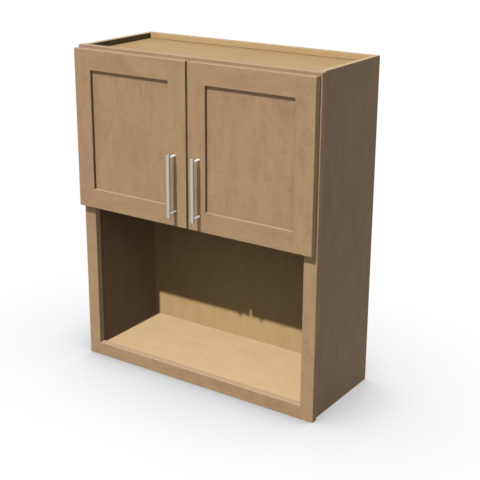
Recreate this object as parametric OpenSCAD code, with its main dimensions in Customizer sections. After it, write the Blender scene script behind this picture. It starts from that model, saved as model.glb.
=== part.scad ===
// Kitchen wall cabinet with a face frame, two doors and an open niche below them.
// Millimetres. X runs to the right, Y runs towards the wall and Z runs up.
// The origin lies on the wall plane, at the middle of the bottom edge.

/* [Cabinet] */
// Width over the face frame
cabinet_w = 762; // [600:1:914]
// Height of the cabinet
cabinet_h = 914.4; // [850:0.1:1067]
// Depth from the wall to the front of the face frame
cabinet_d = 304.8; // [250:0.1:400]
// Thickness of the sides, the top, the deck and the bottom
panel_t = 15.9; // [12:0.1:19]
// Distance from the edge of the face frame back to the side panel
frame_overhang = 6.35; // [1:0.05:8]
// Depth of the slots in the sides that hold the panels
slot_depth = 6; // [3:0.5:8]
// Clear height of the open niche
niche_h = 419.1; // [300:0.1:450]

/* [Back] */
// Thickness of the back panel
back_t = 6.35; // [3:0.05:9]
// Thickness of the hanging rails behind the back panel
hanging_rail_t = 12.7; // [10:0.1:19]
// Height of each hanging rail
hanging_rail_h = 76.2; // [70:0.1:110]
// Spacing of the wall studs that the hanging rails are screwed to
stud_spacing = 406.4; // [300:0.1:450]
// Diameter of the holes for the wall screws
wall_hole_d = 5.5; // [4:0.1:8]

/* [Face frame] */
// Thickness of the face frame
frame_t = 19.05; // [16:0.05:25]
// Width of the face frame stiles
stile_w = 38.1; // [36:0.1:38.5]
// Width of the face frame rails
rail_w = 38.1; // [34:0.1:45]
// Height of each rail's edge past the panel behind it
rail_step = 6.35; // [2:0.05:12]
// Diameter of the dowels in the face frame
dowel_d = 8; // [6:0.5:10]
// Length of the dowels in the face frame
dowel_l = 40; // [25:1:60]
// Distance between the two dowels of a joint
dowel_spacing = 19; // [14:0.5:22]

/* [Doors] */
// Thickness of the doors
door_t = 20.6; // [19:0.1:24]
// Distance from the edge of the face frame to the edge of a door
door_side_reveal = 3.2; // [3:0.1:5]
// Distance from a door's top edge to the top of the cabinet, and alike below
door_end_reveal = 6.35; // [3:0.05:12]
// Gap between the two doors
door_gap = 6.4; // [3:0.1:10]
// Distance from the back of the doors to the face frame
door_standoff = 3.2; // [3:0.1:4]
// Width of the stiles and rails of the doors
door_frame_w = 55.6; // [52:0.1:80]
// Thickness of the flat panel in each door
door_panel_t = 6.4; // [4:0.1:8]
// Depth of the door panel behind the front of the door frame
door_panel_recess = 9.5; // [6:0.05:11]
// Depth of the slots in the door frame that hold the panel
door_slot_depth = 9.5; // [6:0.1:11]
// Play left for the panel at the bottom of its slots
door_panel_play = 0.8; // [0.2:0.1:2]
// Radius of the doors' outer edges at the front
door_edge_r = 1.6; // [0.5:0.1:3]
// Radius of the finer edges of the doors and the face frame
fine_edge_r = 0.8; // [0.3:0.1:1.5]
// Diameter of the door bumpers
bumper_d = 8; // [8:0.5:12]
// Distance from a bumper's centre to the edges of its door
bumper_inset = 14; // [8:0.5:25]
// Play between a bumper and the face frame
bumper_play = 0.2; // [0.1:0.1:0.5]

/* [Hinges] */
// Distance from a hinge's centre to the end of its door
hinge_inset = 76.2; // [50:0.1:130]
// Diameter of the bore for the hinge cup
cup_bore_d = 35; // [35:0.1:36]
// Depth of the bore for the hinge cup
cup_bore_depth = 13; // [13:0.1:14]
// Distance from the cup bore to the edge of the door
cup_edge = 4.5; // [4:0.1:4.7]
// Distance from the hinge pin to the edge of the door
pin_edge = 8; // [7.8:0.1:8.2]
// Depth of the hinge pin's axis below the back of the door
pin_depth = 10; // [9.8:0.1:10.1]
// Diameter of the hinge pin
pin_d = 2.4; // [2:0.1:2.6]
// Radial clearance of the hinge pin in the arm
pin_clearance = 0.05; // [0.02:0.01:0.1]
// Thickness of the hinge arm's steel
arm_t = 2; // [1.5:0.1:2.2]
// Width of the hinge arm between the cup's ears
arm_neck_w = 7; // [6:0.1:7.4]
// Width of the hinge arm past the cup's ears
arm_w = 10; // [8:0.1:11]
// Height of the arm's plate on the face frame
arm_plate_h = 48; // [42:0.5:60]
// Distance between the two screws in the arm's plate
arm_screw_spacing = 34; // [24:0.5:38]
// Distance between the two screws in the cup's flange
cup_screw_spacing = 45; // [43:0.5:48]
// Diameter of the hinge screws
hinge_screw_d = 3.5; // [3:0.1:4]
// Length of the hinge screws below their heads
hinge_screw_l = 13; // [10:0.5:15]

/* [Handles] */
// Length of the handle bars
handle_l = 171.4; // [165:0.1:230]
// Diameter of the handle bars
handle_d = 11; // [9:0.1:14]
// Distance between the two posts of a handle
handle_post_spacing = 152.4; // [96:0.1:160]
// Diameter of the handle posts
handle_post_d = 6.4; // [6:0.1:8]
// Distance from the front of the door to the middle of the bar
handle_standoff = 29.7; // [24:0.1:36]
// Distance from the edge of the door to the middle of the bar
handle_inset = 35.2; // [20:0.1:38]
// Height of the middle of a handle above the bottom of its door
handle_rise = 118.5; // [118:0.1:180]
// Diameter of the handle screws
handle_screw_d = 4; // [3:0.1:5]
// Length of the handle screws' thread inside the posts
handle_screw_grip = 9; // [6:0.5:12]

/* [Shelf] */
// Thickness of the adjustable shelf
shelf_t = 15.9; // [12:0.1:25]
// Distance from the shelf's front edge to the face frame
shelf_setback = 12; // [5:0.5:30]
// Play between the shelf and each side
shelf_side_play = 1.6; // [1.4:0.1:3]
// Play between the shelf and the back panel
shelf_back_play = 2; // [1:0.1:5]
// Diameter of the shelf pins
shelf_pin_d = 5; // [5:0.1:6]
// Depth of the holes for the shelf pins
pin_hole_depth = 10; // [8:0.1:11]
// Distance from one shelf pin hole to the next
pin_hole_pitch = 32; // [25:1:40]
// Number of shelf pin holes in a row
pin_holes = 7; // [3:2:7]
// Distance from each row of pin holes to the face frame or the back panel
pin_row_inset = 37; // [25:1:60]

/* [Hidden] */
$fn = 64;
// Overshoot of cuts past the surfaces that they open
cut = 0.5;
// Radial clearance of screws, dowels and shelf pins in their holes
fit_clearance = 0.05;
stained = [0.67, 0.55, 0.42];
natural = [0.84, 0.71, 0.53];
nickel = [0.76, 0.75, 0.72];
steel = [0.66, 0.66, 0.65];
clear_plastic = [0.86, 0.88, 0.9];
beech = [0.8, 0.64, 0.45];

// Width: the planes of the sides and the doors, measured from the middle
inner_x = cabinet_w / 2 - frame_overhang - panel_t;
outer_x = cabinet_w / 2 - frame_overhang;
opening_x = cabinet_w / 2 - stile_w;
door_out_x = cabinet_w / 2 - door_side_reveal;
door_in_x = door_gap / 2;
door_hinge_x = door_out_x - door_frame_w;
door_lock_x = door_in_x + door_frame_w;

// Depth: Y is zero at the wall and grows more negative towards the front
back_rear_y = -hanging_rail_t;
back_front_y = -hanging_rail_t - back_t;
frame_back_y = -cabinet_d + frame_t;
frame_front_y = -cabinet_d;
frame_mid_y = -cabinet_d + frame_t / 2;
door_back_y = -cabinet_d - door_standoff;
door_front_y = door_back_y - door_t;
door_panel_front_y = door_front_y + door_panel_recess;
door_panel_back_y = door_panel_front_y + door_panel_t;
bar_y = door_front_y - handle_standoff;

// Height: the panels, the rails of the face frame and the doors
bottom_z = rail_w - rail_step;
mid_rail_z = rail_w + niche_h;
deck_z = mid_rail_z + rail_w - rail_step;
top_rail_z = cabinet_h - rail_w;
ceiling_z = top_rail_z + rail_step;
panel_tops = [bottom_z, deck_z, ceiling_z + panel_t];
door_z0 = mid_rail_z + door_end_reveal;
door_z1 = cabinet_h - door_end_reveal;
handle_z = door_z0 + handle_rise;
hinge_heights = [door_z0 + hinge_inset, door_z1 - hinge_inset];

// Wall screws: in the clear strip of the top and the middle hanging rail
top_hanging_z = cabinet_h - hanging_rail_h;
upper_wall_screw_z = (top_hanging_z + ceiling_z) / 2;
lower_wall_screw_z = (deck_z + mid_rail_z + hanging_rail_h) / 2;

// Flat-head screws through the hanging rails into the rear edges of the panels
rail_screw_d = 4;
rail_screw_head_d = 8;
rail_screw_head_h = 2.5;
rail_screw_head_sink = 0.3;
rail_screw_bite = 20;
rail_screw_x = [inner_x / 3, inner_x * 5 / 6];

// Hinge: lengths in the frame of a left hinge, from the pin's axis
pin_x = -door_out_x + pin_edge;
pin_y = door_back_y - pin_depth;
cup_x = cup_edge + cup_bore_d / 2 - pin_edge;
cup_r = cup_bore_d / 2 - 0.1;
cup_wall = 0.8;
cup_base_y = pin_depth - cup_bore_depth + 0.1;
cup_floor_y = cup_base_y + cup_wall;
flange_t = 1.2;
flange_lip = 1.6;
flange_ear_h = cup_screw_spacing + 13;
flange_ear_w = 14;
cup_screw_x = cup_x + 9.5;
knuckle_r = 1.9;
ear_gap = arm_neck_w + 0.6;
ear_top_y = 2.4;
ear_x = 2.6;
pin_l = arm_neck_w + 9.6;
pin_ear_clearance = 0.02;
notch_w = arm_neck_w + 1.4;
neck_l = cup_x;
leg_x = -opening_x - pin_x;
leg_far_x = leg_x + arm_t;
plate_margin = 2;
plate_y0 = frame_front_y + plate_margin - pin_y;
plate_y1 = frame_back_y - plate_margin - pin_y;
plate_screw_y = frame_mid_y - pin_y;
hinge_head_d = 6.4;
hinge_head_h = 1.2;

// Handle: the depth of a post's seat in the bar, and the screw's head
post_seat = 3;
post_end_y = -handle_standoff + handle_d / 2 - post_seat;
post_bore_depth = handle_screw_grip + 1;
bar_end_chamfer = 0.6;
handle_head_d = 8;
handle_head_h = 2.4;

// Shelf: it rests on the tongues of four pins in the middle holes
shelf_pin_z = (deck_z + ceiling_z) / 2;
pin_tongue_l = 9;
pin_tongue_w = 7;
pin_tongue_t = 2;
pin_collar_d = 8;
pin_collar_t = 1;
shelf_rest = 0.1;
shelf_z = shelf_pin_z + shelf_pin_d / 2 + shelf_rest;
pin_rows_y = [frame_back_y + pin_row_inset, back_front_y - pin_row_inset];

// A box between two opposite corners, given in any order
module block(a, b)
    translate([min(a[0], b[0]), min(a[1], b[1]), min(a[2], b[2])])
        cube([abs(a[0] - b[0]), abs(a[1] - b[1]), abs(a[2] - b[2])]);

// A round bar along X, Y or Z from one value to another
module bar_x(r, x0, x1) translate([x0, 0, 0]) rotate([0, 90, 0]) cylinder(r = r, h = x1 - x0);
module bar_y(r, y0, y1) translate([0, y0, 0]) rotate([-90, 0, 0]) cylinder(r = r, h = y1 - y0);
module bar_z(r, z0, z1) translate([0, 0, z0]) cylinder(r = r, h = z1 - z0);

// The waste of a rounded edge along Z; sx and sy point from the edge into the wood
module edge_z(x, y, sx, sy, z0, z1, r)
    difference() {
        block([x - sx * cut, y - sy * cut, z0], [x + sx * r, y + sy * r, z1]);
        translate([x + sx * r, y + sy * r, 0]) bar_z(r, z0 - cut, z1 + cut);
    }

// The waste of a rounded edge along X; sy and sz point from the edge into the wood
module edge_x(y, z, sy, sz, x0, x1, r)
    difference() {
        block([x0, y - sy * cut, z - sz * cut], [x1, y + sy * r, z + sz * r]);
        translate([0, y + sy * r, z + sz * r]) bar_x(r, x0 - cut, x1 + cut);
    }

// Draws its children on the left, or mirrored on the right
module on_side(side) mirror([side == "right" ? 1 : 0, 0, 0]) children();

// The sides, with slots for the panels and rows of holes for the shelf pins
module side_panel(side)
    color(stained)
    on_side(side)
    difference() {
        block([-outer_x, frame_back_y, 0], [-inner_x, 0, cabinet_h]);
        for (z = panel_tops)
            block([-inner_x - slot_depth, frame_back_y - cut, z - panel_t],
                [-inner_x + cut, back_front_y, z]);
        block([-inner_x - slot_depth, back_front_y, -cut],
            [-inner_x + cut, back_rear_y, cabinet_h + cut]);
        for (y = pin_rows_y, i = [0 : pin_holes - 1])
            translate([0, y, shelf_pin_z + (i - (pin_holes - 1) / 2) * pin_hole_pitch])
                bar_x(shelf_pin_d / 2 + fit_clearance, -inner_x - pin_hole_depth, -inner_x + cut);
    }

// A panel across the cabinet with its top at z
module cross_panel(z)
    difference() {
        block([-inner_x - slot_depth, frame_back_y, z - panel_t],
            [inner_x + slot_depth, back_front_y, z]);
        rail_screw_holes(z);
    }

module bottom_panel() color(natural) cross_panel(panel_tops[0]);
module deck() color(natural) cross_panel(panel_tops[1]);
module top_panel() color(natural) cross_panel(panel_tops[2]);

// The holes for the wall screws, through the back panel and the hanging rails
module wall_holes()
    for (x = [-stud_spacing / 2, stud_spacing / 2], z = [lower_wall_screw_z, upper_wall_screw_z])
        translate([x, 0, z]) bar_y(wall_hole_d / 2, back_front_y - cut, cut);

// A flat-head screw's shape with its head at Y = 0, made thicker by the clearance
module rail_screw_shape(clearance) {
    bar_y(rail_screw_d / 2 + clearance, back_front_y - rail_screw_bite, 0);
    translate([0, -rail_screw_head_h, 0]) rotate([-90, 0, 0])
        cylinder(r1 = rail_screw_d / 2 + clearance, r2 = rail_screw_head_d / 2 + clearance,
            h = rail_screw_head_h);
}

// The places of the four screws of the hanging rail whose panel has its top at z
module at_rail_screws(z)
    for (x = rail_screw_x, s = [-1, 1])
        translate([s * x, -rail_screw_head_sink, z - panel_t / 2]) children();

// The countersunk holes for the screws of one hanging rail
module rail_screw_holes(z)
    at_rail_screws(z) {
        rail_screw_shape(fit_clearance);
        bar_y(rail_screw_head_d / 2 + fit_clearance, 0, rail_screw_head_sink + cut);
    }

module back_panel()
    color(natural)
    difference() {
        block([-inner_x - slot_depth, back_front_y, 0], [inner_x + slot_depth, back_rear_y, cabinet_h]);
        wall_holes();
        for (z = panel_tops) rail_screw_holes(z);
    }

// A hanging rail from z up, screwed to the panel whose top is at panel_z
module hanging_rail(z, panel_z)
    color(natural)
    difference() {
        block([-inner_x, back_rear_y, z], [inner_x, 0, z + hanging_rail_h]);
        wall_holes();
        rail_screw_holes(panel_z);
    }

module bottom_hanging_rail() hanging_rail(0, panel_tops[0]);
module middle_hanging_rail() hanging_rail(mid_rail_z, panel_tops[1]);
module top_hanging_rail() hanging_rail(top_hanging_z, panel_tops[2]);

// A cross-shaped drive recess in a screw head that faces along +Y
module cross_recess(y, w, d)
    for (a = [0, 90])
        translate([0, y, 0]) rotate([0, a, 0]) block([-w / 2, -d, -w / 8], [w / 2, cut, w / 8]);

module hanging_rail_screws()
    color(steel)
    for (z = panel_tops)
        at_rail_screws(z)
            difference() {
                rail_screw_shape(0);
                cross_recess(0, rail_screw_head_d / 2, rail_screw_head_h / 2);
            }

// Two dowel places at each joint of the face frame, on the left
module at_frame_joints()
    for (z = [0, mid_rail_z, top_rail_z], s = [-1, 1])
        translate([-opening_x, frame_mid_y, z + rail_w / 2 + s * dowel_spacing / 2]) children();

module dowel_holes() at_frame_joints()
    bar_x(dowel_d / 2 + fit_clearance, -dowel_l / 2 - cut, dowel_l / 2 + cut);

// The pins of the left door's two hinges
module at_hinges() for (z = hinge_heights) translate([pin_x, pin_y, z]) children();

// The places of the two arm screws on the stile's inner edge, from the pin's axis
module at_arm_screws()
    for (s = [-1, 1])
        translate([leg_x, plate_screw_y, s * arm_screw_spacing / 2]) children();

module frame_stile(side)
    color(stained)
    on_side(side)
    difference() {
        block([-cabinet_w / 2, frame_front_y, 0], [-opening_x, frame_back_y, cabinet_h]);
        edge_z(-cabinet_w / 2, frame_front_y, 1, 1, -cut, cabinet_h + cut, fine_edge_r);
        edge_z(-opening_x, frame_front_y, -1, 1, rail_w, mid_rail_z, fine_edge_r);
        edge_z(-opening_x, frame_front_y, -1, 1, mid_rail_z + rail_w, top_rail_z, fine_edge_r);
        dowel_holes();
        at_hinges() at_arm_screws()
            bar_x(hinge_screw_d / 2 + fit_clearance, -hinge_screw_l - cut, cut);
    }

module frame_rail(z, ease_below, ease_above)
    color(stained)
    difference() {
        block([-opening_x, frame_front_y, z], [opening_x, frame_back_y, z + rail_w]);
        if (ease_below) edge_x(frame_front_y, z, 1, 1, -opening_x, opening_x, fine_edge_r);
        if (ease_above) edge_x(frame_front_y, z + rail_w, 1, -1, -opening_x, opening_x, fine_edge_r);
        dowel_holes();
        on_side("right") dowel_holes();
    }

module frame_top_rail() frame_rail(top_rail_z, true, false);
module frame_middle_rail() frame_rail(mid_rail_z, true, true);
module frame_bottom_rail() frame_rail(0, false, true);

module frame_dowels()
    color(beech)
    for (side = ["left", "right"])
        on_side(side) at_frame_joints() bar_x(dowel_d / 2, -dowel_l / 2, dowel_l / 2);

// The rounded edges at the top and the bottom of a door, from x0 to x1
module door_end_edges(x0, x1) {
    edge_x(door_front_y, door_z1, 1, -1, x0, x1, door_edge_r);
    edge_x(door_front_y, door_z0, 1, 1, x0, x1, door_edge_r);
    edge_x(door_back_y, door_z1, -1, -1, x0, x1, fine_edge_r);
    edge_x(door_back_y, door_z0, -1, 1, x0, x1, fine_edge_r);
}

// A stile of the left door; sx points from its outer edge into the door
module door_stile(x_out, sx)
    difference() {
        block([x_out, door_front_y, door_z0], [x_out + sx * door_frame_w, door_back_y, door_z1]);
        edge_z(x_out, door_front_y, sx, 1, door_z0 - cut, door_z1 + cut, door_edge_r);
        edge_z(x_out, door_back_y, sx, -1, door_z0 - cut, door_z1 + cut, fine_edge_r);
        door_end_edges(min(x_out, x_out + sx * door_frame_w) - cut,
            max(x_out, x_out + sx * door_frame_w) + cut);
        edge_z(x_out + sx * door_frame_w, door_front_y, -sx, 1, door_z0 + door_frame_w,
            door_z1 - door_frame_w, fine_edge_r);
        block([x_out + sx * (door_frame_w - door_slot_depth), door_panel_front_y, door_z0 - cut],
            [x_out + sx * (door_frame_w + cut), door_panel_back_y, door_z1 + cut]);
    }

// The places of the two cup screws, from the pin's axis
module at_cup_screws()
    for (s = [-1, 1])
        translate([cup_screw_x, pin_depth, s * cup_screw_spacing / 2]) children();

module door_hinge_stile(side)
    color(stained)
    on_side(side)
    difference() {
        door_stile(-door_out_x, 1);
        at_hinges() {
            translate([cup_x, 0, 0]) bar_y(cup_bore_d / 2, pin_depth - cup_bore_depth, pin_depth + cut);
            at_cup_screws() bar_y(hinge_screw_d / 2 + fit_clearance, -hinge_screw_l, cut);
        }
    }

// The places of the two posts of the left handle, on the front of the door
module at_handle_posts()
    for (s = [-1, 1])
        translate([-door_in_x - handle_inset, door_front_y, handle_z + s * handle_post_spacing / 2])
            children();

module door_lock_stile(side)
    color(stained)
    on_side(side)
    difference() {
        door_stile(-door_in_x, -1);
        at_handle_posts() bar_y(handle_screw_d / 2 + fit_clearance, -cut, door_t + cut);
    }

// A rail of the left door; sz points from its outer edge into the door
module door_rail(side, z_out, sz)
    color(stained)
    on_side(side)
    difference() {
        union() {
            block([-door_hinge_x, door_front_y, z_out],
                [-door_lock_x, door_back_y, z_out + sz * door_frame_w]);
            block([-door_hinge_x - door_slot_depth, door_panel_front_y, z_out],
                [-door_lock_x + door_slot_depth, door_panel_back_y,
                    z_out + sz * (door_frame_w - door_slot_depth)]);
        }
        door_end_edges(-door_hinge_x, -door_lock_x);
        edge_x(door_front_y, z_out + sz * door_frame_w, 1, -sz, -door_hinge_x, -door_lock_x,
            fine_edge_r);
        block([-door_hinge_x - cut, door_panel_front_y, z_out + sz * (door_frame_w - door_slot_depth)],
            [-door_lock_x + cut, door_panel_back_y, z_out + sz * (door_frame_w + cut)]);
    }

module door_top_rail(side) door_rail(side, door_z1, -1);
module door_bottom_rail(side) door_rail(side, door_z0, 1);

// The flat panel, which floats in the slots of the door frame
module door_panel(side) {
    reach = door_slot_depth - door_panel_play;
    color(stained)
    on_side(side)
    block([-door_hinge_x - reach, door_panel_front_y, door_z0 + door_frame_w - reach],
        [-door_lock_x + reach, door_panel_back_y, door_z1 - door_frame_w + reach]);
}

// Domed bumpers on the back of a door, at its free corners
module door_bumpers(side) {
    h = door_standoff - bumper_play;
    // Radius of the dome that has the bumper's height and width
    dome_r = (h * h + bumper_d * bumper_d / 4) / (2 * h);
    color(clear_plastic)
    on_side(side)
    for (z = [door_z0 + bumper_inset, door_z1 - bumper_inset])
        translate([-door_in_x - bumper_inset, door_back_y, z])
            intersection() {
                bar_y(bumper_d / 2 + cut, 0, h + cut);
                translate([0, h - dome_r, 0]) sphere(r = dome_r);
            }
}

// The cup in the door, with two ears that carry the pin
module hinge_cup()
    color(steel)
    difference() {
        union() {
            translate([cup_x, 0, 0]) bar_y(cup_r, cup_base_y, pin_depth);
            translate([cup_x, 0, 0]) bar_y(cup_bore_d / 2 + flange_lip, pin_depth, pin_depth + flange_t);
            block([cup_screw_x - flange_ear_w / 2, pin_depth, -flange_ear_h / 2],
                [cup_screw_x + flange_ear_w / 2, pin_depth + flange_t, flange_ear_h / 2]);
        }
        difference() {
            translate([cup_x, 0, 0]) bar_y(cup_r - cup_wall, cup_floor_y, pin_depth + flange_t + cut);
            for (s = [-1, 1])
                block([-cup_x, cup_floor_y - cut, s * ear_gap / 2], [ear_x, ear_top_y, s * cup_r]);
        }
        block([-cup_bore_d / 2, ear_top_y, -notch_w / 2],
            [ear_x, pin_depth + flange_t + cut, notch_w / 2]);
        bar_z(pin_d / 2 + pin_ear_clearance, -cup_r, cup_r);
        at_cup_screws() bar_y(hinge_screw_d / 2 + fit_clearance, -cut, flange_t + cut);
    }

// The cranked arm, from the pin round the stile's corner to its plate on the stile
module hinge_arm()
    color(steel)
    difference() {
        union() {
            bar_z(knuckle_r, -arm_neck_w / 2, arm_neck_w / 2);
            block([0, -knuckle_r, -arm_neck_w / 2], [neck_l, arm_t - knuckle_r, arm_neck_w / 2]);
            block([neck_l, -knuckle_r, -arm_w / 2], [leg_far_x, arm_t - knuckle_r, arm_w / 2]);
            block([leg_x, -knuckle_r, -arm_w / 2], [leg_far_x, plate_y1, arm_w / 2]);
            block([leg_x, plate_y0, -arm_plate_h / 2], [leg_far_x, plate_y1, arm_plate_h / 2]);
        }
        bar_z(pin_d / 2 + pin_clearance, -arm_neck_w, arm_neck_w);
        edge_z(leg_far_x, -knuckle_r, -1, 1, -arm_w, arm_w, arm_t / 2);
        at_arm_screws() bar_x(hinge_screw_d / 2 + fit_clearance, -cut, arm_t + cut);
    }

module hinge_pin() color(steel) bar_z(pin_d / 2, -pin_l / 2, pin_l / 2);

// A pan-head screw whose head stands on Y = 0 and whose shank runs to -Y
module hinge_screw(l)
    color(steel)
    difference() {
        union() {
            bar_y(hinge_screw_d / 2, -l, 0);
            bar_y(hinge_head_d / 2, 0, hinge_head_h);
        }
        cross_recess(hinge_head_h, hinge_head_d / 2, hinge_head_h * 0.7);
    }

module at_hinge(side, level) on_side(side) translate([pin_x, pin_y, hinge_heights[level]]) children();

module cup_screws(side)
    on_side(side) at_hinges() at_cup_screws()
        translate([0, flange_t, 0]) hinge_screw(hinge_screw_l);

module hinge_arm_screws()
    for (side = ["left", "right"])
        on_side(side) at_hinges() at_arm_screws()
            translate([arm_t, 0, 0]) rotate([0, 0, -90]) hinge_screw(hinge_screw_l);

// The handle's bar, with chamfered ends and a seat for each post
module handle_bar(side)
    color(nickel)
    on_side(side)
    difference() {
        translate([-door_in_x - handle_inset, bar_y, handle_z]) {
            bar_z(handle_d / 2, bar_end_chamfer - handle_l / 2, handle_l / 2 - bar_end_chamfer);
            for (s = [0, 180])
                rotate([s, 0, 0]) translate([0, 0, handle_l / 2 - bar_end_chamfer])
                    cylinder(r1 = handle_d / 2, r2 = handle_d / 2 - bar_end_chamfer,
                        h = bar_end_chamfer);
        }
        at_handle_posts() bar_y(handle_post_d / 2 + fit_clearance, post_end_y, -cut);
    }

module handle_posts(side)
    color(nickel)
    on_side(side) at_handle_posts()
        difference() {
            bar_y(handle_post_d / 2, post_end_y, 0);
            bar_y(handle_screw_d / 2 + fit_clearance, -post_bore_depth, cut);
        }

module handle_screws(side)
    color(steel)
    on_side(side) at_handle_posts()
        difference() {
            union() {
                bar_y(handle_screw_d / 2, -handle_screw_grip, door_t);
                bar_y(handle_head_d / 2, door_t, door_t + handle_head_h);
            }
            cross_recess(door_t + handle_head_h, handle_head_d / 2, handle_head_h * 0.7);
        }

module shelf()
    color(natural)
    block([-inner_x + shelf_side_play, frame_back_y + shelf_setback, shelf_z],
        [inner_x - shelf_side_play, back_front_y - shelf_back_play, shelf_z + shelf_t]);

// Shelf pins: a shank in the side, a collar against it and a tongue under the shelf
module shelf_pins()
    color(nickel)
    for (side = ["left", "right"], y = pin_rows_y)
        on_side(side) translate([-inner_x, y, shelf_pin_z]) {
            bar_x(shelf_pin_d / 2, -pin_hole_depth + cut, pin_tongue_l / 2);
            bar_x(pin_collar_d / 2, 0, pin_collar_t);
            block([0, -pin_tongue_w / 2, shelf_pin_d / 2 - pin_tongue_t],
                [pin_tongue_l, pin_tongue_w / 2, shelf_pin_d / 2]);
        }

side_panel("left");  // left_side
side_panel("right");  // right_side
top_panel();
deck();
bottom_panel();
back_panel();
top_hanging_rail();
middle_hanging_rail();
bottom_hanging_rail();
hanging_rail_screws();
frame_stile("left");  // frame_left_stile
frame_stile("right");  // frame_right_stile
frame_top_rail();
frame_middle_rail();
frame_bottom_rail();
frame_dowels();
door_hinge_stile("left");  // left_door_hinge_stile
door_lock_stile("left");  // left_door_lock_stile
door_top_rail("left");  // left_door_top_rail
door_bottom_rail("left");  // left_door_bottom_rail
door_panel("left");  // left_door_panel
door_bumpers("left");  // left_door_bumpers
door_hinge_stile("right");  // right_door_hinge_stile
door_lock_stile("right");  // right_door_lock_stile
door_top_rail("right");  // right_door_top_rail
door_bottom_rail("right");  // right_door_bottom_rail
door_panel("right");  // right_door_panel
door_bumpers("right");  // right_door_bumpers
at_hinge("left", 1) hinge_cup();  // left_upper_hinge_cup
at_hinge("left", 1) hinge_arm();  // left_upper_hinge_arm
at_hinge("left", 1) hinge_pin();  // left_upper_hinge_pin
at_hinge("left", 0) hinge_cup();  // left_lower_hinge_cup
at_hinge("left", 0) hinge_arm();  // left_lower_hinge_arm
at_hinge("left", 0) hinge_pin();  // left_lower_hinge_pin
at_hinge("right", 1) hinge_cup();  // right_upper_hinge_cup
at_hinge("right", 1) hinge_arm();  // right_upper_hinge_arm
at_hinge("right", 1) hinge_pin();  // right_upper_hinge_pin
at_hinge("right", 0) hinge_cup();  // right_lower_hinge_cup
at_hinge("right", 0) hinge_arm();  // right_lower_hinge_arm
at_hinge("right", 0) hinge_pin();  // right_lower_hinge_pin
cup_screws("left");  // left_hinge_cup_screws
cup_screws("right");  // right_hinge_cup_screws
hinge_arm_screws();
handle_bar("left");  // left_handle_bar
handle_posts("left");  // left_handle_posts
handle_screws("left");  // left_handle_screws
handle_bar("right");  // right_handle_bar
handle_posts("right");  // right_handle_posts
handle_screws("right");  // right_handle_screws
shelf();
shelf_pins();
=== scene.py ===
# Kitchen wall cabinet: stained maple outside, clear maple inside, brushed nickel pulls
import math
import random
import bpy
from mathutils import Euler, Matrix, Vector


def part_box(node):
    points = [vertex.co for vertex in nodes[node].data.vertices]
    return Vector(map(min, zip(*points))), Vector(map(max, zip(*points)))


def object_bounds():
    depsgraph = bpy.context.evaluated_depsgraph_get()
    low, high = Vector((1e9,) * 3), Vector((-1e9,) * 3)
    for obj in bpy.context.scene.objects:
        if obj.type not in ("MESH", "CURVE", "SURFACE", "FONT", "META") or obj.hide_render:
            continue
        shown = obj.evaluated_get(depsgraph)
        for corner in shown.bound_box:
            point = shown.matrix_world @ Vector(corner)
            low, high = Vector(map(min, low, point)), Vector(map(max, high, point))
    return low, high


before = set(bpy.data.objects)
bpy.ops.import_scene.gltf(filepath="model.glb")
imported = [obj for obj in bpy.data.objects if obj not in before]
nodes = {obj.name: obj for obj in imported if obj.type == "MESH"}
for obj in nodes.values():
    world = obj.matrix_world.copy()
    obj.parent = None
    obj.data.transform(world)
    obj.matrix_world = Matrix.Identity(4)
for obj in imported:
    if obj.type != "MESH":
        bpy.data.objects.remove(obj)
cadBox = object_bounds()
scene = bpy.context.scene
print("Frame loaded:", len(nodes), "CAD nodes")


# Colours are written as sRGB from 0 to 255 and come out linear
def srgb(red, green, blue):
    def linear(c):
        return c / 12.92 if c <= 0.04045 else ((c + 0.055) / 1.055) ** 2.4
    return (linear(red / 255), linear(green / 255), linear(blue / 255), 1.0)


# Node helpers: an input takes a fixed value or the output of another node
def feed(tree, socket, value):
    if isinstance(value, bpy.types.NodeSocket):
        tree.links.new(value, socket)
    else:
        socket.default_value = value


def addNode(tree, kind, inputs=None, **settings):
    made = tree.nodes.new("ShaderNode" + kind)
    for name, value in settings.items():
        setattr(made, name, value)
    for key, value in (inputs or {}).items():
        feed(tree, made.inputs[key], value)
    return made


def calc(tree, operation, a, b=0.0, clamp=False):
    return addNode(tree, "Math", {0: a, 1: b}, operation=operation, use_clamp=clamp).outputs[0]


def vectorCalc(tree, operation, a, b=(0, 0, 0)):
    return addNode(tree, "VectorMath", {0: a, 1: b}, operation=operation).outputs[0]


def remap(tree, value, low, high, toLow=0.0, toHigh=1.0):
    return addNode(tree, "MapRange", {0: value, 1: low, 2: high, 3: toLow, 4: toHigh}).outputs[0]


def mixColor(tree, factor, a, b):
    return addNode(tree, "Mix", {0: factor, 6: a, 7: b}, data_type="RGBA").outputs[2]


def mixValue(tree, factor, a, b):
    return addNode(tree, "Mix", {0: factor, 2: a, 3: b}, data_type="FLOAT").outputs[0]


def noise(tree, vector, scale, detail=2.0, roughness=0.5):
    return addNode(tree, "TexNoise", {"Vector": vector, "Scale": scale, "Detail": detail,
                                      "Roughness": roughness})


def stretch(tree, vector, factors):
    return vectorCalc(tree, "MULTIPLY", vector, factors)


def axesOf(tree, vector):
    return addNode(tree, "SeparateXYZ", {0: vector}).outputs


def startGroup(name, inputs, outputs):
    tree = bpy.data.node_groups.new(name, "ShaderNodeTree")
    for label, kind, value in inputs:
        socket = tree.interface.new_socket(label, in_out="INPUT", socket_type="NodeSocket" + kind)
        if value is not None:
            socket.default_value = value
    for label, kind in outputs:
        tree.interface.new_socket(label, in_out="OUTPUT", socket_type="NodeSocket" + kind)
    return tree, tree.nodes.new("NodeGroupInput").outputs, tree.nodes.new("NodeGroupOutput").inputs


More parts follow.
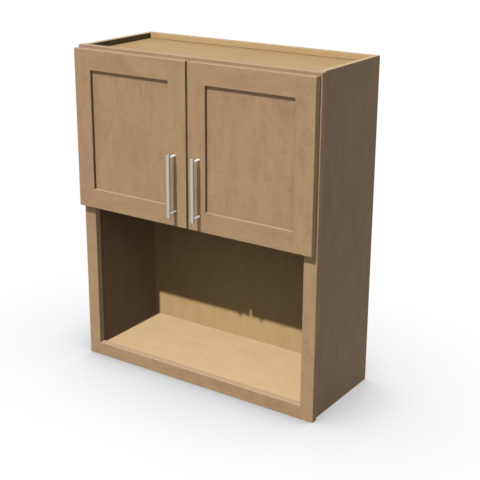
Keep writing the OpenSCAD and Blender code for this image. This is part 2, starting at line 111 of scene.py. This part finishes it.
def useGroup(tree, group, inputs):
    placed = tree.nodes.new("ShaderNodeGroup")
    placed.node_tree = group
    for key, value in inputs.items():
        feed(tree, placed.inputs[key], value)
    return placed.outputs


# Marks in the maple: noise scale, its stretch along the grain, detail, roughness, and the noise
# values at which a mark starts and is full. Elsewhere a noise is its scale, detail and roughness,
# and a range is where a mark starts and is full
marks = {
    "patch": (26, 0.34, 3, 0.55, 0.4, 0.64), "ringFade": (16, 0.4, 1, 0.5, 0.38, 0.6),
    "cluster": (20, 0.6, 1, 0.5, 0.53, 0.63), "pale": (80, 0.05, 1, 0.5, 0.58, 0.74),
    "blotch": (44, 0.7, 1.5, 0.5, 0.55, 0.67), "streak": (230, 0.05, 2, 0.6, 0.35, 0.7),
    "speck": (190, 0.4, 2, 0.5, 0.62, 0.72), "crowd": (24, 0.5, 1, 0.5, 0.54, 0.7),
}
growth = {
    "driftScale": 11, "driftAlong": 0.3, "driftReach": (0.022, 0.022, 0.05),
    "ringsPerMetre": 150.0, "ringWaver": 1.6, "waverScale": 45, "waverAlong": 0.12,
    "ringSharpness": 5.0, "waveScale": 75, "waveAlong": 0.7, "waveWidth": (0.024, 0.004),
    "waveAmount": 0.6, "paleAmount": 0.018, "streakAmount": 0.07,
    "fibreNoise": (1400, 2, 0.6), "fibreAlong": 0.02, "fibreRange": (0.3, 0.7),
    "fibreAmount": 0.08, "fibreHeight": 0.5, "fleckDepth": 0.4, "ringDepth": 0.2,
}


def addMark(tree, vector, name):
    scale, along, detail, roughness, low, high = marks[name]
    cloud = noise(tree, stretch(tree, vector, (1, 1, along)), scale, detail, roughness).outputs[0]
    return remap(tree, cloud, low, high)


def tint(tree, mask, amount, color, over):
    return mixColor(tree, calc(tree, "MULTIPLY", mask, amount), color, over)


# Maple grain along the vector's Z: patches, growth lines, wavy figure, blotches, fibres and flecks
def buildMapleGrain():
    tree, given, result = startGroup(
        "mapleGrain",
        [("Vector", "Vector", None), ("Base", "Color", None), ("Patch", "Color", None),
         ("Line", "Color", None), ("Fleck", "Color", None), ("Patch Amount", "Float", 0.5),
         ("Line Amount", "Float", 0.3), ("Fleck Amount", "Float", 0.5),
         ("Blotch Amount", "Float", 0.2)],
        [("Color", "Color"), ("Height", "Float")])
    spot = given["Vector"]
    drift = noise(tree, stretch(tree, spot, (1, 1, growth["driftAlong"])),
                  growth["driftScale"]).outputs[1]
    drift = vectorCalc(tree, "SUBTRACT", drift, (0.5, 0.5, 0.5))
    bent = vectorCalc(tree, "ADD", spot, stretch(tree, drift, growth["driftReach"]))

    # Broad cloudy patches, longer along the grain than across it
    patch = addMark(tree, bent, "patch")
    color = tint(tree, patch, given["Patch Amount"], given["Base"], given["Patch"])

    # Growth lines: rings round the pith, cut by the board's face
    flat = stretch(tree, bent, (1, 1, 0))
    reach = addNode(tree, "VectorMath", {0: flat}, operation="LENGTH").outputs[1]
    waver = noise(tree, stretch(tree, spot, (1, 1, growth["waverAlong"])),
                  growth["waverScale"]).outputs[0]
    rings = calc(tree, "ADD", calc(tree, "MULTIPLY", reach, growth["ringsPerMetre"]),
                 calc(tree, "MULTIPLY", waver, growth["ringWaver"]))
    line = calc(tree, "POWER", calc(tree, "FRACT", rings), growth["ringSharpness"])
    line = calc(tree, "MULTIPLY", line, addMark(tree, spot, "ringFade"))
    color = tint(tree, line, given["Line Amount"], color, given["Line"])

    # Scattered clusters of wavy figure, and pale streaks
    wave = noise(tree, stretch(tree, bent, (1, 1, growth["waveAlong"])),
                 growth["waveScale"]).outputs[0]
    wave = calc(tree, "ABSOLUTE", calc(tree, "SUBTRACT", wave, 0.5))
    figure = calc(tree, "MULTIPLY", calc(tree, "MULTIPLY", remap(tree, wave, *growth["waveWidth"]),
                                         addMark(tree, spot, "cluster")), given["Fleck Amount"])
    color = tint(tree, figure, growth["waveAmount"], color, given["Fleck"])
    color = tint(tree, addMark(tree, bent, "pale"), growth["paleAmount"], color, (1, 1, 1, 1))

    # Small soft blotches where the stain went in deeper
    color = tint(tree, addMark(tree, bent, "blotch"), given["Blotch Amount"], color, given["Line"])

    # Fine fibres and the short dark flecks of maple
    color = tint(tree, addMark(tree, bent, "streak"), growth["streakAmount"], color, given["Line"])
    fleck = calc(tree, "MULTIPLY", addMark(tree, spot, "speck"), addMark(tree, spot, "crowd"))
    color = tint(tree, fleck, given["Fleck Amount"], color, given["Fleck"])
    fibre = noise(tree, stretch(tree, spot, (1, 1, growth["fibreAlong"])),
                  *growth["fibreNoise"]).outputs[0]
    fibreTone = remap(tree, fibre, *growth["fibreRange"], 0.0, growth["fibreAmount"])
    feed(tree, result["Color"], mixColor(tree, fibreTone, color, given["Line"]))

    height = calc(tree, "SUBTRACT", calc(tree, "MULTIPLY", fibre, growth["fibreHeight"]),
                  calc(tree, "MULTIPLY", fleck, growth["fleckDepth"]))
    height = calc(tree, "SUBTRACT", height, calc(tree, "MULTIPLY", line, growth["ringDepth"]))
    feed(tree, result["Height"], height)
    return tree


rounding = {"samples": 6, "turnStart": 0.995, "turnFull": 0.85}


# Rounded edges: a normal that rolls over each edge, and a mask of where it rolls
def buildSoftEdge():
    tree, given, result = startGroup(
        "softEdge", [("Radius", "Float", 0.0006)], [("Normal", "Vector"), ("Edge", "Float")])
    rolled = addNode(tree, "Bevel", {"Radius": given["Radius"]},
                     samples=rounding["samples"]).outputs[0]
    plain = addNode(tree, "NewGeometry").outputs["Normal"]
    match = addNode(tree, "VectorMath", {0: rolled, 1: plain}, operation="DOT_PRODUCT").outputs[1]
    feed(tree, result["Normal"], rolled)
    feed(tree, result["Edge"], remap(tree, match, rounding["turnStart"], rounding["turnFull"]))
    return tree


plies = {
    "glueShare": 0.1, "glueAmount": 0.6, "gritNoise": (900, 2, 0.7), "gritRange": (0.35, 0.75),
    "gritAmount": 0.25, "gritHeight": 0.6, "crossHeight": 0.3,
}


# Plywood seen on its edge: crossed layers and thin glue lines, by depth into the sheet
def buildPlyLayers():
    tree, given, result = startGroup(
        "plyLayers",
        [("Depth", "Float", 0.0), ("Ply", "Float", 0.0018), ("Vector", "Vector", None),
         ("Long", "Color", None), ("Cross", "Color", None), ("Glue", "Color", None)],
        [("Color", "Color"), ("Height", "Float")])
    count = calc(tree, "DIVIDE", given["Depth"], given["Ply"])
    crossed = calc(tree, "GREATER_THAN", calc(tree, "FRACT", calc(tree, "MULTIPLY", count, 0.5)), 0.5)
    color = mixColor(tree, crossed, given["Long"], given["Cross"])
    glue = calc(tree, "LESS_THAN", calc(tree, "FRACT", count), plies["glueShare"])
    color = tint(tree, glue, plies["glueAmount"], color, given["Glue"])
    grit = noise(tree, given["Vector"], *plies["gritNoise"]).outputs[0]
    gritTone = remap(tree, grit, *plies["gritRange"], 0.0, plies["gritAmount"])
    feed(tree, result["Color"], mixColor(tree, gritTone, color, given["Glue"]))
    feed(tree, result["Height"], calc(tree, "ADD", calc(tree, "MULTIPLY", grit, plies["gritHeight"]),
                                      calc(tree, "MULTIPLY", crossed, plies["crossHeight"])))
    return tree


handling = {
    "broadNoise": (14, 3, 0.6), "broadShare": 0.7, "fineNoise": (120, 2, 0.6), "fineShare": 0.3,
}


# Handling: faint smudges that change the roughness
def buildSmudge():
    tree, given, result = startGroup(
        "smudge",
        [("Vector", "Vector", None), ("Roughness", "Float", 0.4), ("Amount", "Float", 0.1)],
        [("Roughness", "Float")])
    broad = noise(tree, given["Vector"], *handling["broadNoise"]).outputs[0]
    fine = noise(tree, given["Vector"], *handling["fineNoise"]).outputs[0]
    both = calc(tree, "ADD", calc(tree, "MULTIPLY", broad, handling["broadShare"]),
                calc(tree, "MULTIPLY", fine, handling["fineShare"]))
    swing = calc(tree, "MULTIPLY", calc(tree, "SUBTRACT", both, 0.5), given["Amount"])
    feed(tree, result["Roughness"], calc(tree, "ADD", given["Roughness"], swing, clamp=True))
    return tree


hairLines = {"noise": (1.0, 3, 0.7), "range": (0.35, 0.65)}


# Brushing: hair lines across the axis that has the high count in Lines
def buildBrushing():
    tree, given, result = startGroup(
        "brushing", [("Vector", "Vector", None), ("Lines", "Vector", (1, 1, 1))],
        [("Height", "Float"), ("Streak", "Float")])
    hair = noise(tree, stretch(tree, given["Vector"], given["Lines"]), *hairLines["noise"]).outputs[0]
    feed(tree, result["Height"], hair)
    feed(tree, result["Streak"], remap(tree, hair, *hairLines["range"]))
    return tree


mapleGrain = buildMapleGrain()
softEdge = buildSoftEdge()
plyLayers = buildPlyLayers()
smudge = buildSmudge()
brushing = buildBrushing()
print("Shared effects built")


def startMaterial(name):
    material = bpy.data.materials.new(name)
    material.use_nodes = True
    tree = material.node_tree
    tree.nodes.clear()
    shader = addNode(tree, "BsdfPrincipled")
    output = addNode(tree, "OutputMaterial")
    tree.links.new(shader.outputs[0], output.inputs["Surface"])
    return material, tree, shader


def bump(tree, height, normal, strength, distance):
    return addNode(tree, "Bump", {"Height": height, "Normal": normal, "Strength": strength,
                                  "Distance": distance}).outputs[0]


# How a board sits in its tree: turn and slant in degrees, the pith's angle in radians, then metres
trunk = {
    "turn": {"Z": (0, 0, 0), "X": (0, -90, 0)}, "slant": 3,
    "pithAngle": (0.6, 2.5), "pithDistance": (0.05, 0.11), "along": 5,
}


# Where a board was cut from the log: its own place and a slight slant to the grain
def boardVector(tree, nodeName, grainAxis):
    low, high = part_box(nodeName)
    chance = random.Random(nodeName)
    most = trunk["slant"]
    slant = (chance.uniform(-most, most), chance.uniform(-most, most), 0)
    angles = Euler([math.radians(a + b) for a, b in zip(trunk["turn"][grainAxis], slant)])
    pithAngle = chance.uniform(*trunk["pithAngle"])
    pithDistance = chance.uniform(*trunk["pithDistance"])
    offset = Vector((math.cos(pithAngle) * pithDistance, math.sin(pithAngle) * pithDistance,
                     chance.uniform(-trunk["along"], trunk["along"])))
    place = offset - angles.to_matrix() @ ((low + high) / 2)
    coords = addNode(tree, "TexCoord").outputs["Object"]
    return addNode(tree, "Mapping", {
        "Vector": coords, "Location": place, "Rotation": angles}).outputs[0]


# Painted light and shade on single faces: faces that look up are painted lighter, the quirk
# beside a door's panel is painted darker as shade, and the door edges in the gap between the
# doors and the faces round the frame's openings are painted lighter
stain = {
    "base": srgb(158, 131, 98), "patch": srgb(153, 123, 97), "line": srgb(124, 95, 69),
    "fleck": srgb(113, 86, 64), "edge": srgb(165, 138, 109),
    "patchAmount": 1.0, "lineAmount": 0.12, "fleckAmount": 0.5, "blotchAmount": 0.2,
    "roughness": 0.5, "edgeRadius": 0.0014, "shine": 0.12,
    "paintedTopLight": srgb(165, 138, 110), "paintedTopLightAmount": 0.9, "paintedQuirkShade": srgb(128, 100, 80),
    "paintedInnerLight": srgb(193, 162, 124), "paintedGapLight": srgb(174, 145, 111),
}
# The sides keep the stain's own colour; the fronts' base above is painted darker, painted shade that
# offsets the front fill lamp
sideStain = {
    **stain, "base": srgb(175, 145, 108), "patch": srgb(170, 138, 105), "blotchAmount": 0.08,
}
# The bottom rails: their top faces take a brighter painted light
railLedge = {**stain, "paintedTopLight": srgb(192, 162, 131)}  # the frame's bottom rail
doorLedge = {**stain, "paintedTopLight": srgb(184, 157, 130)}  # the doors' bottom rails
# The joint colour is a dark joint line with painted corner shade
clearMaple = {
    "base": srgb(218, 187, 144), "patch": srgb(215, 182, 138), "line": srgb(178, 141, 93),
    "fleck": srgb(166, 128, 84), "edge": srgb(222, 194, 150),
    "patchAmount": 0.8, "lineAmount": 0.12, "fleckAmount": 0.3, "blotchAmount": 0.08,
    "roughness": 0.46, "edgeRadius": 0.0005, "shine": 0.12,
    "paintedTopLight": srgb(218, 189, 145), "paintedTopLightAmount": 0.0, "joint": srgb(120, 94, 60),
}
backMaple = {**clearMaple, "base": srgb(196, 165, 117), "patch": srgb(191, 157, 111)}
# The walls' dim colour is painted shade
wallMaple = {
    **clearMaple, "base": srgb(200, 170, 128), "patch": srgb(192, 160, 117), "paintedShade": srgb(92, 72, 44),
}
dullMaple = {
    **clearMaple, "base": srgb(168, 141, 100), "patch": srgb(163, 135, 95), "shine": 0.02,
}
rawPly = {
    "long": srgb(195, 172, 140), "cross": srgb(180, 154, 117), "glue": srgb(136, 107, 76),
    "ply": 0.0018, "roughness": 0.78,
}
# Shared by all wood: face limits are parts of a unit normal, bumps are strength and metres.
# The tone, dim and joint entries set painted light and shade
woodwork = {
    "faceStart": 0.5, "faceFull": 0.9, "faceLimit": 0.5, "paintedSideShadingAmount": 0.8, "edgeRub": 0.35,
    "smudge": 0.16, "solidBump": (0.35, 0.00012), "plyBump": (0.4, 0.00015),
    "paintedShadeAmount": 0.85, "jointWidth": (0.0022, 0.0008), "jointAmount": 0.8,
}


def grainLook(tree, vector, look):
    return useGroup(tree, mapleGrain, {
        "Vector": vector, "Base": look["base"], "Patch": look["patch"], "Line": look["line"],
        "Fleck": look["fleck"], "Patch Amount": look["patchAmount"],
        "Line Amount": look["lineAmount"], "Fleck Amount": look["fleckAmount"],
        "Blotch Amount": look["blotchAmount"]})


# A mask of the faces that look one way, given the normal's share that way
def faceMask(tree, share, amount):
    return remap(tree, share, woodwork["faceStart"], woodwork["faceFull"], 0.0, amount)


# Solid maple under one finish, with painted light on faces that look up; paintedSideShading names
# painted light or shade for faces that look left (-1) or right (1)
def solidMaple(nodeName, grainAxis, look, paintedSideShading=None):
    material, tree, shader = startMaterial(nodeName + "Wood")
    vector = boardVector(tree, nodeName, grainAxis)
    grain = grainLook(tree, vector, look)
    edge = useGroup(tree, softEdge, {"Radius": look["edgeRadius"]})
    facing = axesOf(tree, addNode(tree, "TexCoord").outputs["Normal"])
    # Painted light on faces that look up, then painted light or shade on faces that look left or
    # right
    color = mixColor(tree, faceMask(tree, facing[2], look["paintedTopLightAmount"]), grain["Color"],
                     look["paintedTopLight"])
    for side, tone in (paintedSideShading or {}).items():
        turned = faceMask(tree, calc(tree, "MULTIPLY", facing[0], side), woodwork["paintedSideShadingAmount"])
        color = mixColor(tree, turned, color, look[tone])
    color = tint(tree, edge["Edge"], woodwork["edgeRub"], color, look["edge"])
    feed(tree, shader.inputs["Base Color"], color)
    feed(tree, shader.inputs["Roughness"], useGroup(tree, smudge, {
        "Vector": vector, "Roughness": look["roughness"], "Amount": woodwork["smudge"]})["Roughness"])
    feed(tree, shader.inputs["Normal"],
         bump(tree, grain["Height"], edge["Normal"], *woodwork["solidBump"]))
    shader.inputs["Specular IOR Level"].default_value = look["shine"]
    return material


# Veneered plywood: its faces in one or two finishes, and bare layers on its edges. Above the
# height paintedShadeAbove its faces take painted shade, and joints are heights where a dark joint
# line with painted corner shade shows
def plywood(nodeName, grainAxis, thicknessAxis, look=clearMaple, stainedSide=0,
            bandedFront=False, joints=(), paintedShadeAbove=None):
    material, tree, shader = startMaterial(nodeName + "Ply")
    low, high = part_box(nodeName)
    axis = "XYZ".index(thicknessAxis)
    thickness, limit = high[axis] - low[axis], woodwork["faceLimit"]
    vector = boardVector(tree, nodeName, grainAxis)
    coords = addNode(tree, "TexCoord").outputs
    facing = axesOf(tree, coords["Normal"])
    place = axesOf(tree, coords["Object"])
    clear = grainLook(tree, vector, look)
    color = clear["Color"]
    # Painted shade on the faces above the height paintedShadeAbove
    if paintedShadeAbove is not None:
        above = calc(tree, "GREATER_THAN", place[2], paintedShadeAbove)
        color = tint(tree, above, woodwork["paintedShadeAmount"], color, look["paintedShade"])
    if stainedSide:
        outward = calc(tree, "MULTIPLY", facing[axis], stainedSide)
        color = mixColor(tree, calc(tree, "GREATER_THAN", outward, limit), color,
                         grainLook(tree, vector, sideStain)["Color"])
    onEdge = calc(tree, "LESS_THAN", calc(tree, "ABSOLUTE", facing[axis]), limit)
    if bandedFront:
        onEdge = calc(tree, "MULTIPLY", onEdge, calc(tree, "GREATER_THAN", facing[1], -limit))
    layers = useGroup(tree, plyLayers, {
        "Depth": calc(tree, "SUBTRACT", place[axis], low[axis]),
        "Ply": thickness / round(thickness / rawPly["ply"]), "Vector": vector,
        "Long": rawPly["long"], "Cross": rawPly["cross"], "Glue": rawPly["glue"]})
    color = mixColor(tree, onEdge, color, layers["Color"])
    # Dark joint lines, darkened further as painted corner shade
    for level in joints:
        away = calc(tree, "ABSOLUTE", calc(tree, "SUBTRACT", place[2], level))
        line = remap(tree, away, *woodwork["jointWidth"], 0.0, woodwork["jointAmount"])
        color = mixColor(tree, line, color, look["joint"])
    feed(tree, shader.inputs["Base Color"], color)
    worn = useGroup(tree, smudge, {
        "Vector": vector, "Roughness": clearMaple["roughness"], "Amount": woodwork["smudge"]})
    feed(tree, shader.inputs["Roughness"],
         mixValue(tree, onEdge, worn["Roughness"], rawPly["roughness"]))
    height = mixValue(tree, onEdge, clear["Height"], layers["Height"])
    edge = useGroup(tree, softEdge, {"Radius": clearMaple["edgeRadius"]})
    feed(tree, shader.inputs["Normal"], bump(tree, height, edge["Normal"], *woodwork["plyBump"]))
    shader.inputs["Specular IOR Level"].default_value = look["shine"]
    return material


metalwork = {"smudge": 0.2, "streakAmount": 0.5, "bumpDistance": 0.00004}


# Metal with hair lines; the lines run across the axis that has the high count
def brushedMetal(name, look):
    material, tree, shader = startMaterial(name)
    coords = addNode(tree, "TexCoord").outputs["Object"]
    lines = useGroup(tree, brushing, {"Vector": coords, "Lines": look["lines"]})
    worn = useGroup(tree, smudge, {
        "Vector": coords, "Roughness": look["roughness"], "Amount": metalwork["smudge"]})
    edge = useGroup(tree, softEdge, {"Radius": look["edgeRadius"]})
    feed(tree, shader.inputs["Base Color"],
         tint(tree, lines["Streak"], metalwork["streakAmount"], look["color"], look["streak"]))
    shader.inputs["Metallic"].default_value = look["metallic"]
    feed(tree, shader.inputs["Roughness"], worn["Roughness"])
    feed(tree, shader.inputs["Normal"],
         bump(tree, lines["Height"], edge["Normal"], look["bump"], metalwork["bumpDistance"]))
    return material


satinNickel = brushedMetal("satinNickel", {
    "color": srgb(181, 178, 171), "streak": srgb(170, 166, 158), "lines": (900, 900, 12000),
    "metallic": 0.65, "roughness": 0.36, "bump": 0.25, "edgeRadius": 0.0003})
# Painted highlight: the posts take a pale, mostly matt nickel that stands in for their bright glints
paintedHighlightNickel = brushedMetal("paintedHighlightNickel", {
    "color": srgb(240, 235, 226), "streak": srgb(228, 222, 212), "lines": (900, 12000, 900),
    "metallic": 0.2, "roughness": 0.45, "bump": 0.25, "edgeRadius": 0.0003})
platedSteel = brushedMetal("platedSteel", {
    "color": srgb(198, 197, 194), "streak": srgb(180, 178, 174), "lines": (700, 700, 700),
    "metallic": 1.0, "roughness": 0.3, "bump": 0.15, "edgeRadius": 0.0002})
zincSteel = brushedMetal("zincSteel", {
    "color": srgb(186, 187, 188), "streak": srgb(160, 160, 158), "lines": (1500, 1500, 1500),
    "metallic": 1.0, "roughness": 0.38, "bump": 0.3, "edgeRadius": 0.00015})


bumper = {
    "color": srgb(236, 238, 240), "haze": srgb(222, 226, 230), "hazeScale": 600,
    "roughness": 0.2, "smudge": 0.15, "transmission": 0.85, "ior": 1.48,
}


def clearBumper():
    material, tree, shader = startMaterial("clearBumper")
    coords = addNode(tree, "TexCoord").outputs["Object"]
    haze = noise(tree, coords, bumper["hazeScale"]).outputs[0]
    feed(tree, shader.inputs["Base Color"], mixColor(tree, haze, bumper["color"], bumper["haze"]))
    feed(tree, shader.inputs["Roughness"], useGroup(tree, smudge, {
        "Vector": coords, "Roughness": bumper["roughness"], "Amount": bumper["smudge"]})["Roughness"])
    shader.inputs["Transmission Weight"].default_value = bumper["transmission"]
    shader.inputs["IOR"].default_value = bumper["ior"]
    return material


def dress(nodeName, material):
    slots = nodes[nodeName].data.materials
    slots.clear()
    slots.append(material)


for side, outward in (("left", -1), ("right", 1)):
    # Painted shade on the side's inner face above the top panel
    dress(side + "_side", plywood(side + "_side", "Z", "X", wallMaple, stainedSide=outward,
                                  paintedShadeAbove=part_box("top_panel")[1].z))
    # Painted light on the frame stile's face round the opening
    dress(f"frame_{side}_stile",
          solidMaple(f"frame_{side}_stile", "Z", stain, {-outward: "paintedInnerLight"}))
    for part, grainAxis in (("hinge_stile", "Z"), ("lock_stile", "Z"), ("top_rail", "X"),
                            ("bottom_rail", "X"), ("panel", "Z")):
        piece = f"{side}_door_{part}"
        # Painted shade on the stile edges beside the panel, painted light on the edge in the gap
        paintedSideShading = {"hinge_stile": {-outward: "paintedQuirkShade"},
                     "lock_stile": {outward: "paintedQuirkShade", -outward: "paintedGapLight"}}.get(part)
        look = doorLedge if part == "bottom_rail" else stain
        dress(piece, solidMaple(piece, grainAxis, look, paintedSideShading))
for level in ("top", "middle", "bottom"):
    look = railLedge if level == "bottom" else stain
    dress(f"frame_{level}_rail", solidMaple(f"frame_{level}_rail", "X", look))
    dress(f"{level}_hanging_rail", plywood(f"{level}_hanging_rail", "X", "Y", dullMaple))
for panel in ("top_panel", "deck", "bottom_panel"):
    dress(panel, plywood(panel, "X", "Z", dullMaple if panel == "top_panel" else clearMaple))
# Dark joint lines with painted corner shade where the top panel and the deck meet the back
dress("back_panel", plywood("back_panel", "Z", "Y", backMaple,
                            joints=[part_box(panel)[1].z for panel in ("top_panel", "deck")]))
dress("shelf", plywood("shelf", "X", "Z", bandedFront=True))
dress("frame_dowels", solidMaple("frame_dowels", "X", clearMaple))
print("Wood finished")

bumperClear = clearBumper()
for name in nodes:
    if "handle_bar" in name:
        dress(name, satinNickel)
    elif "handle_posts" in name:
        dress(name, paintedHighlightNickel)
    elif "screws" in name:
        dress(name, zincSteel)
    elif "hinge_cup" in name or "hinge_arm" in name or "hinge_pin" in name or name == "shelf_pins":
        dress(name, platedSteel)
    elif "bumpers" in name:
        dress(name, bumperClear)
print("Metal and bumpers finished")


# A shade is its reach in metres, its depth, and the way that its hemisphere leans
studio = {
    "ambient": 0.46, "settledAmbient": 0.25, "settledDepth": 1.5, "floorSize": 60.0,
    "floorBounce": 0.08, "shadeSamples": 12,
    "closeShade": (0.2, 0.42, (0.2, 0.15, 1)), "wideShade": (0.6, 0.5, (0.25, 0.35, 1)),
}
# Far lamps: strength, then in degrees spread, azimuth from the front towards the right, elevation
lamps = {
    "key": (3.7, 1.2, 0, 49.35), "backFill": (1.5, 8, -150, 2),
    "handleFill": (2.4, 12, 70, 40), "frontFill": (1.5, 50, 25, 0),
}


# Camera, mirror and see-through rays find a white room; only the rest light the cabinet
def whiteRays(tree):
    path = addNode(tree, "LightPath").outputs
    seen = calc(tree, "MAXIMUM", path["Is Camera Ray"], path["Is Glossy Ray"])
    return calc(tree, "MAXIMUM", seen, path["Is Transmission Ray"])


def makeWorld():
    world = bpy.data.worlds.new("studioRoom")
    scene.world = world
    world.use_nodes = True
    tree = world.node_tree
    background = tree.nodes["Background"]
    background.inputs["Color"].default_value = (1, 1, 1, 1)
    depth = addNode(tree, "LightPath").outputs["Diffuse Depth"]
    settled = calc(tree, "GREATER_THAN", depth, studio["settledDepth"])
    share = remap(tree, settled, 0.0, 1.0, 1.0, studio["settledAmbient"])
    ambient = calc(tree, "MULTIPLY", share, studio["ambient"])
    feed(tree, background.inputs["Strength"], mixValue(tree, whiteRays(tree), ambient, 1.0))


def makeFloor():
    half = studio["floorSize"] / 2
    mesh = bpy.data.meshes.new("studioFloor")
    corners = [(-half, -half, 0), (half, -half, 0), (half, half, 0), (-half, half, 0)]
    mesh.from_pydata(corners, [], [(0, 1, 2, 3)])
    floor = bpy.data.objects.new("studioFloor", mesh)
    floor.location.z = cadBox[0].z
    scene.collection.objects.link(floor)
    material, tree, shader = startMaterial("paleFloor")
    seen = whiteRays(tree)
    bounce = studio["floorBounce"]
    feed(tree, shader.inputs["Base Color"],
         mixColor(tree, seen, (bounce, bounce, bounce, 1), (0, 0, 0, 1)))
    shader.inputs["Roughness"].default_value = 1.0
    shader.inputs["Specular IOR Level"].default_value = 0.0
    shader.inputs["Emission Color"].default_value = (1, 1, 1, 1)

    # The cabinet's soft shadow: how far it shuts the sky out, close by and further off
    light = 1.0
    for reach, depth, lean in (studio["closeShade"], studio["wideShade"]):
        openness = addNode(tree, "AmbientOcclusion", {
            "Distance": reach, "Normal": Vector(lean).normalized()},
            samples=studio["shadeSamples"]).outputs["AO"]
        light = calc(tree, "SUBTRACT", light, remap(tree, openness, 1.0, 0.0, 0.0, depth))
    feed(tree, shader.inputs["Emission Strength"], calc(tree, "MULTIPLY", seen, light))
    mesh.materials.append(material)
    return floor


# A far lamp lights directly only; the one behind leaves no glint
def makeSun(name):
    strength, spread, azimuth, elevation = lamps[name]
    lamp = bpy.data.lights.new(name, "SUN")
    lamp.energy = strength
    lamp.angle = math.radians(spread)
    lamp.cycles.max_bounces = 0
    sun = bpy.data.objects.new(name, lamp)
    sun.visible_glossy = name != "backFill"
    turn, lift = math.radians(azimuth), math.radians(elevation)
    towards = Vector((math.sin(turn) * math.cos(lift), -math.cos(turn) * math.cos(lift),
                      math.sin(lift)))
    sun.rotation_euler = towards.to_track_quat("Z", "Y").to_euler()
    scene.collection.objects.link(sun)
    return sun


def lightOnly(name, things):
    chosen = bpy.data.collections.new(name + "Lights")
    for thing in things:
        chosen.objects.link(thing)
    makeSun(name).light_linking.receiver_collection = chosen


def lightAllBut(name, things):
    skipped = bpy.data.collections.new(name + "Skips")
    for thing in things:
        skipped.objects.link(thing)
    for entry in skipped.collection_objects:
        entry.light_linking.link_state = "EXCLUDE"
    makeSun(name).light_linking.receiver_collection = skipped


# The far lamps pass the floor by, so the cabinet keeps only its soft shadow there
makeWorld()
floor = makeFloor()
handles = [node for name, node in nodes.items() if "handle_bar" in name or "handle_posts" in name]
fronts = [node for name, node in nodes.items() if name.startswith("frame_")
          or "_door_" in name and name.endswith(("_stile", "_rail", "_panel"))]
lightAllBut("key", [floor])
lightAllBut("backFill", [floor])
lightOnly("handleFill", handles)
lightOnly("frontFill", fronts)

# Fitted to the photo: metres, degrees, and millimetres for the lens and the sensor
view = {
    "place": (1.5864, -2.4421, 1.3557), "turn": 35.04, "tilt": 17.83,
    "lens": 79.26, "sensor": 36.0, "shift": (0.0424, -0.0546),
}


def makeCamera():
    data = bpy.data.cameras.new("photoView")
    data.sensor_width = view["sensor"]
    data.lens = view["lens"]
    data.shift_x, data.shift_y = view["shift"]
    camera = bpy.data.objects.new("photoView", data)
    camera.location = view["place"]
    camera.rotation_euler = (math.radians(90 - view["tilt"]), 0, math.radians(view["turn"]))
    scene.collection.objects.link(camera)
    scene.camera = camera


makeCamera()
scene.view_settings.view_transform = "Standard"
print("Studio and camera ready")
